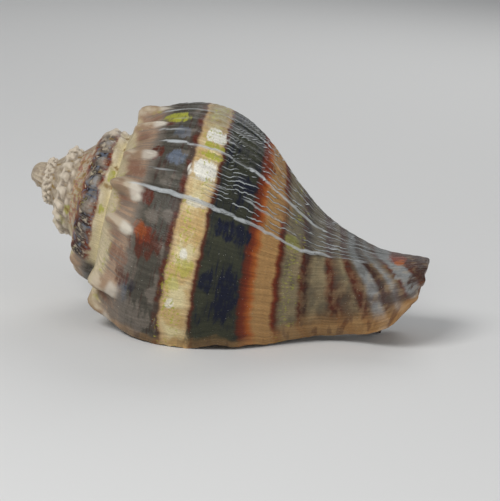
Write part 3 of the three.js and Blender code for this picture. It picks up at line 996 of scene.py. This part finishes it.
class ShellNodes(Nodes):
    """Nodes whose values come from the place on the shell, its marks and named waves."""

    def __init__(self, name):
        super().__init__(name)
        turns, level, inside = self.attribute("growth")
        # The relief marks: worn pale tops, rib heights, and the dips beside the spines, which get painted
        # shade
        worn, edge, dip = self.attribute("relief")
        self.known = {"level": level, "inside": inside, "worn": worn, "edge": edge, "dip": dip}
        self.known["degrees"] = self.math("MULTIPLY", turns, 360.0)

    def attribute(self, name):
        source = self.add("Attribute", attribute_name=name)
        split = self.add("SeparateXYZ")
        self.put(split.inputs[0], source.outputs["Vector"])
        return split.outputs[:3]

    def get(self, name):
        """The named value; waves are made at their first use."""
        if name not in self.known:
            make = self.waves_in_space if name in SPIRE_WAVES else self.waves_on_shell
            self.known[name] = make(name)
        return self.known[name]

    def waves_on_shell(self, name):
        """Random waves, drawn out along the growth lines or along the spiral by the two scales."""
        per_degree, per_mm, seed, detail = WAVES[name]
        node = self.add("CombineXYZ")
        along = self.math("MULTIPLY", self.get("degrees"), per_degree) if per_degree else 0.0
        self.put_all(node, {"X": along, "Y": self.math("MULTIPLY", self.get("level"), per_mm), "Z": seed})
        return self.noise(node.outputs[0], 1.0, detail)

    def waves_in_space(self, name):
        """Random waves that go by where the surface is, in mm."""
        per_mm, detail = SPIRE_WAVES[name]
        node = self.add("VectorMath", operation="SCALE")
        place_at = self.add("TexCoord").outputs["Object"]
        self.put_all(node, {"Vector": place_at, "Scale": 1 / MM})
        return self.noise(node.outputs[0], per_mm, detail)

    def slope(self, name, *numbers):
        """A smooth slope on the named value."""
        return self.range(self.get(name), *numbers)

    def straight(self, name, start, end, low, high):
        """A straight slope on the named value."""
        share = self.range(self.get(name), start, end, kind="LINEAR")
        return self.math("MULTIPLY_ADD", share, high - low, low)

    def spread(self, name, reach):
        """The named waves, from -reach to reach."""
        return self.math("MULTIPLY_ADD", self.get(name), 2 * reach, -reach)

    def value_of(self, share):
        """A share is a slope, a name, a number or a node's output."""
        if isinstance(share, tuple):
            return self.slope(*share)
        return self.get(share) if isinstance(share, str) else share

    def product(self, first, *others):
        """Multiplies shares."""
        result = self.value_of(first)
        for share in others:
            result = self.math("MULTIPLY", result, self.value_of(share))
        return result

    def paint(self, colour, *layers):
        """Lays paints over the colour, each as strongly as its shares multiplied."""
        for paint, *shares in layers:
            colour = self.mix(self.product(*shares), colour, paint)
        return colour

    def shade(self, colour, share, waves, contrast):
        """Darkens and lightens the colour by waves."""
        shades = self.mix(waves, (1 - contrast,) * 3, (1 + contrast,) * 3)
        return self.mix(share, colour, shades, "MULTIPLY")


def band_colour(n, level, bands):
    low, high = bands[0][1], bands[-1][-1]
    stops = [((at - low) / (high - low), colour) for colour, *levels in bands for at in levels]
    return n.ramp(n.range(level, low, high, kind="LINEAR"), stops)


def band_level(n):
    """Level in the tables of bands: they lie a little lower on the newer shell, and growth frays them."""
    frayed = n.math("ADD", n.spread("band_waves", BAND_WAVES), n.spread("band_teeth", BAND_TEETH))
    moved = n.math("ADD", n.get("level"), n.straight(*DRIFT))
    moved = n.math("ADD", moved, n.math("ADD", n.product(*LIP_DRIFT), n.product(frayed, BAND_FRAY)))
    return n.math("ADD", moved, n.product(n.straight(*SLANT), *SLANTED))


def patched(n, colour, patches):
    """Adds the patches: uneven ovals, all but the white ones brushed."""
    places = [(paint, place_on) for paint, *group in patches for place_on in group]
    for paint, (degrees, level, half_length, half_width, strength) in places:
        x = n.math("MULTIPLY_ADD", n.get("degrees"), 1 / half_length, -degrees / half_length)
        y = n.math("MULTIPLY_ADD", n.get("level"), 1 / half_width, -level / half_width)
        away = n.math("ADD", n.math("MULTIPLY", x, x), n.math("MULTIPLY", y, y))
        mask = n.range(n.math("ADD", away, n.get("patch_fray")), *PATCH_EDGE, 0, strength)
        brushed = [] if paint == WHITE else ["patch_brush"]
        colour = n.paint(colour, (paint, mask, *brushed))
    return colour


def canal_coloured(n, colour):
    """The canal's back is greyer, its newer side brown, and both it and the end are striped."""
    grey = n.mix(n.get("blotches"), COAL, ICE)
    colour = n.paint(colour, (grey, *CANAL_BACK), CANAL_SIDE)
    side_or_end = n.math("MAXIMUM", n.slope(*STRIPED_SIDE), n.slope(*STRIPED_END))
    n.known["stripes"] = n.product(STRIPED_FROM, side_or_end)
    return n.paint(colour, *STRIPE_LAYERS)


def lip_coloured(n, colour):
    """The newest shell at the lip is plain tan with brown marks."""
    width = n.slope(*STRIP)
    behind = n.math("ADD", n.get("degrees"), n.spread("blotches", STRIP_WANDER))
    start = n.math("MULTIPLY", width, -1.0)
    at_lip = n.range(behind, start, n.math("MULTIPLY", width, -STRIP_FULL))
    lip = n.mix(n.slope(*LIP_MARKS), LIP_TAN, MAROON)
    return n.paint(colour, (n.mix(LIP_SHOWS_BANDS, lip, colour), at_lip, STRIP_SHARE))


def body_colour(n):
    """The last whorl."""
    n.known["bands"] = band_level(n)
    body = band_colour(n, n.get("bands"), BANDS)
    canal = band_colour(n, n.get("bands"), CANAL_BANDS)
    colour = n.mix(n.range(n.get("bands"), *BANDS_MEET, kind="LINEAR"), body, canal)
    colour = patched(n, n.paint(colour, *BAND_LAYERS), PATCHES)
    return lip_coloured(n, canal_coloured(n, colour))


def spire_colour(n):
    """The stained and worn older whorls."""
    n.known["spire_bands"] = n.math("ADD", n.get("level"), n.spread("spire_waves", SPIRE_FRAY))
    colour = n.paint(band_colour(n, n.get("spire_bands"), SPIRE_BANDS), *SPIRE_LAYERS)
    worn = n.mix(n.slope(*FIRST_WHORLS_GREY), WORN, WORN_GREY)
    return patched(n, n.paint(colour, (worn, FIRST_WHORLS)), SPIRE_PATCHES)


def specked(n, colour):
    on_band, on_ramp, on_pale = (n.product(*shares) for shares in SPECKED_BANDS)
    place_on = n.math("ADD", on_band, n.math("ADD", on_ramp, on_pale), clamp=True)
    return n.paint(colour, (GREEN, *SPECKS, place_on, SPECKED_WHORLS, SPECK_SHARE))


def grained(n, colour):
    """Growth streaks on the last whorl, and fine grain all over."""
    unworn = n.math("SUBTRACT", 1.0, n.slope(*WORN_SPIRE))
    colour = n.shade(colour, unworn, n.get("streaks"), STREAK_CONTRAST)
    grain = n.blend(n.slope(*WORN_SPIRE), n.get("grain"), n.get("spire_grain"))
    return n.shade(colour, GRAIN_SHARE, grain, GRAIN_CONTRAST)


def edges_worn(n, colour):
    """Pale tops of spines, folds, knobs and beads, and ochre pits between the beads."""
    pale = n.mix(n.slope(*WORN_BLOTCHES), LOBE_TAN, LOBE_PALE)
    pale = n.paint(pale, (WHITE, WORN_WHITE), (BEAD_PALE, BEADED_SPIRE))
    share = n.math("MULTIPLY_ADD", n.product(*STAINED), STAINED_LESS, WORN_SHARE)
    return n.paint(colour, (pale, WORN_FROM, share), PITS)


def fine_lines(n):
    """Height, 0 to 1, of the fine broken growth lines, closest together on the older shell."""
    along = n.math("DIVIDE", n.math("SUBTRACT", LINE_START, n.get("degrees")), n.straight(*LINE_SPACING))
    step = n.math("FRACT", n.math("MULTIPLY_ADD", n.get("line_sway"), LINE_SWAY, along))
    fall = n.math("SUBTRACT", 1.0, n.range(step, *LINE_FALL))
    return n.math("MULTIPLY", n.product(n.range(step, *LINE_RISE), fall), n.product(*LINES_SHOWN))


def outside_colour(n):
    """The markings of the outer surface, from the bands up to the painted sheen on the lines and the
    white specks on top.
    """
    n.known["patch_fray"] = n.spread("fray", PATCH_FRAY)
    n.known["patch_brush"] = n.slope(*PATCH_BRUSH)
    colour = n.mix(n.slope(*ON_SPIRE), body_colour(n), spire_colour(n))
    colour = n.paint(specked(n, colour), GLAZE)
    colour = n.paint(grained(n, colour), *SHOULDER_LAYERS)
    return n.paint(edges_worn(n, colour), *SHEEN_AND_SPECK_LAYERS)


def bump_height(n):
    """The finest relief of the outside in mm: growth lines, spiral threads and grain."""
    threads = n.math("SINE", n.math("MULTIPLY", n.get("level"), THREADS))
    grain = n.blend(n.slope(*WORN_SPIRE), n.get("bumps"), n.get("spire_bumps"))
    height = n.math("ADD", n.product(threads, THREAD_HEIGHT), n.product(grain, GRAIN_HEIGHT))
    height = n.math("ADD", n.product("lines", LINE_HEIGHT), height)
    return n.math("MULTIPLY", height, n.math("SUBTRACT", 1.0, n.get("inside")))


def shell_material():
    """Banded outside, and porcelain inside with the bands showing through and painted shade towards the
    canal's end.
    """
    n = ShellNodes("shell")
    n.known["lines"] = fine_lines(n)
    inner = n.paint(PORCELAIN, *INSIDE_BANDS_AND_SHADE)
    rough = n.math("MULTIPLY_ADD", n.get("blotches"), BLOTCH_ROUGHNESS, ROUGHNESS)
    bump = n.add("Bump")
    n.put_all(bump, {"Strength": 1.0, "Distance": MM, "Height": bump_height(n)})
    return n.surface({
        "Base Color": n.mix(n.get("inside"), outside_colour(n), inner),
        "Roughness": n.math("MULTIPLY_ADD", n.get("inside"), INSIDE_ROUGHNESS, rough),
        "Specular IOR Level": SPECULAR, "Normal": bump.outputs[0]})


shell.data.materials.append(shell_material())


# The camera looks at the shell as the photograph does, with the axis dipping to the right
VIEW_RISE = 14.6
VIEW_TURN = 3.5
VIEW_TILT = 20.0
VIEW_DISTANCE = 0.45
PHOTO_PIXELS = 500
MM_PER_PIXEL = 0.225
APEX_PIXEL = (33, 170)
CENTRE_PIXEL = (250, 250.5)
SENSOR = 36.0

# A pale floor and a soft studio: (name, place, power in watts, size)
FLOOR_REACH = 1.5
FLOOR_COLOUR = (0.72, 0.72, 0.71)
FLOOR_ROUGHNESS = 0.8
LIGHTS = [
    ("key", (-0.25, -0.52, 0.50), 3.9, 0.30), ("fill", (0.60, -0.35, 0.35), 0.8, 0.5),
    ("back", (0.10, 0.55, 0.45), 1.2, 0.4)]
SKY_COLOUR = (0.9, 0.92, 0.95, 1)
SKY_STRENGTH = 0.26


def build_camera():
    """Places the camera so that the apex lies on its pixel of the photograph."""
    axis = Vector((math.cos(REST_DIP), 0, -math.sin(REST_DIP)))
    upright = Vector((math.sin(REST_DIP), 0, math.cos(REST_DIP)))
    rise, turn, tilt = (math.radians(a) for a in (VIEW_RISE, VIEW_TURN, VIEW_TILT))
    outward = Vector((0, -1, 0)) * math.cos(rise) + upright * math.sin(rise)
    towards = outward * math.cos(turn) + axis * math.sin(turn)
    along = (axis - towards * axis.dot(towards)).normalized()
    across = towards.cross(along)
    right = along * math.cos(tilt) + across * math.sin(tilt)
    up = across * math.cos(tilt) - along * math.sin(tilt)
    apex = shell.data.vertices[-1].co.copy()
    scale = MM_PER_PIXEL * MM
    across_by = (CENTRE_PIXEL[0] - APEX_PIXEL[0]) * scale
    down_by = (CENTRE_PIXEL[1] - APEX_PIXEL[1]) * scale
    target = apex + right * across_by - up * down_by
    data = bpy.data.cameras.new("camera")
    data.sensor_width = SENSOR
    data.lens = SENSOR * VIEW_DISTANCE / (PHOTO_PIXELS * scale)
    camera = add_object("camera", data)
    turned = Matrix((right, up, towards)).transposed().to_4x4()
    camera.matrix_world = Matrix.Translation(target + towards * VIEW_DISTANCE) @ turned
    bpy.context.scene.camera = camera


def build_floor():
    mesh = bpy.data.meshes.new("floor")
    signs = ((-1, -1), (1, -1), (1, 1), (-1, 1))
    mesh.from_pydata([(x * FLOOR_REACH, y * FLOOR_REACH, 0) for x, y in signs], [], [(0, 1, 2, 3)])
    values = {"Base Color": FLOOR_COLOUR, "Roughness": FLOOR_ROUGHNESS}
    mesh.materials.append(Nodes("floor").surface(values))
    add_object("floor", mesh)


def build_light():
    """Soft lamps that look at the origin, and an even sky."""
    for name, place_at, power, size in LIGHTS:
        data = bpy.data.lights.new(name, "AREA")
        data.energy = power
        data.size = size
        light = add_object(name, data)
        light.location = place_at
        light.rotation_euler = (-Vector(place_at)).to_track_quat("-Z", "Y").to_euler()
    world = bpy.data.worlds.new("studio")
    world.use_nodes = True
    sky = world.node_tree.nodes["Background"]
    sky.inputs[0].default_value = SKY_COLOUR
    sky.inputs[1].default_value = SKY_STRENGTH
    bpy.context.scene.world = world
    bpy.context.scene.view_settings.view_transform = "Standard"


build_camera()
build_floor()
build_light()
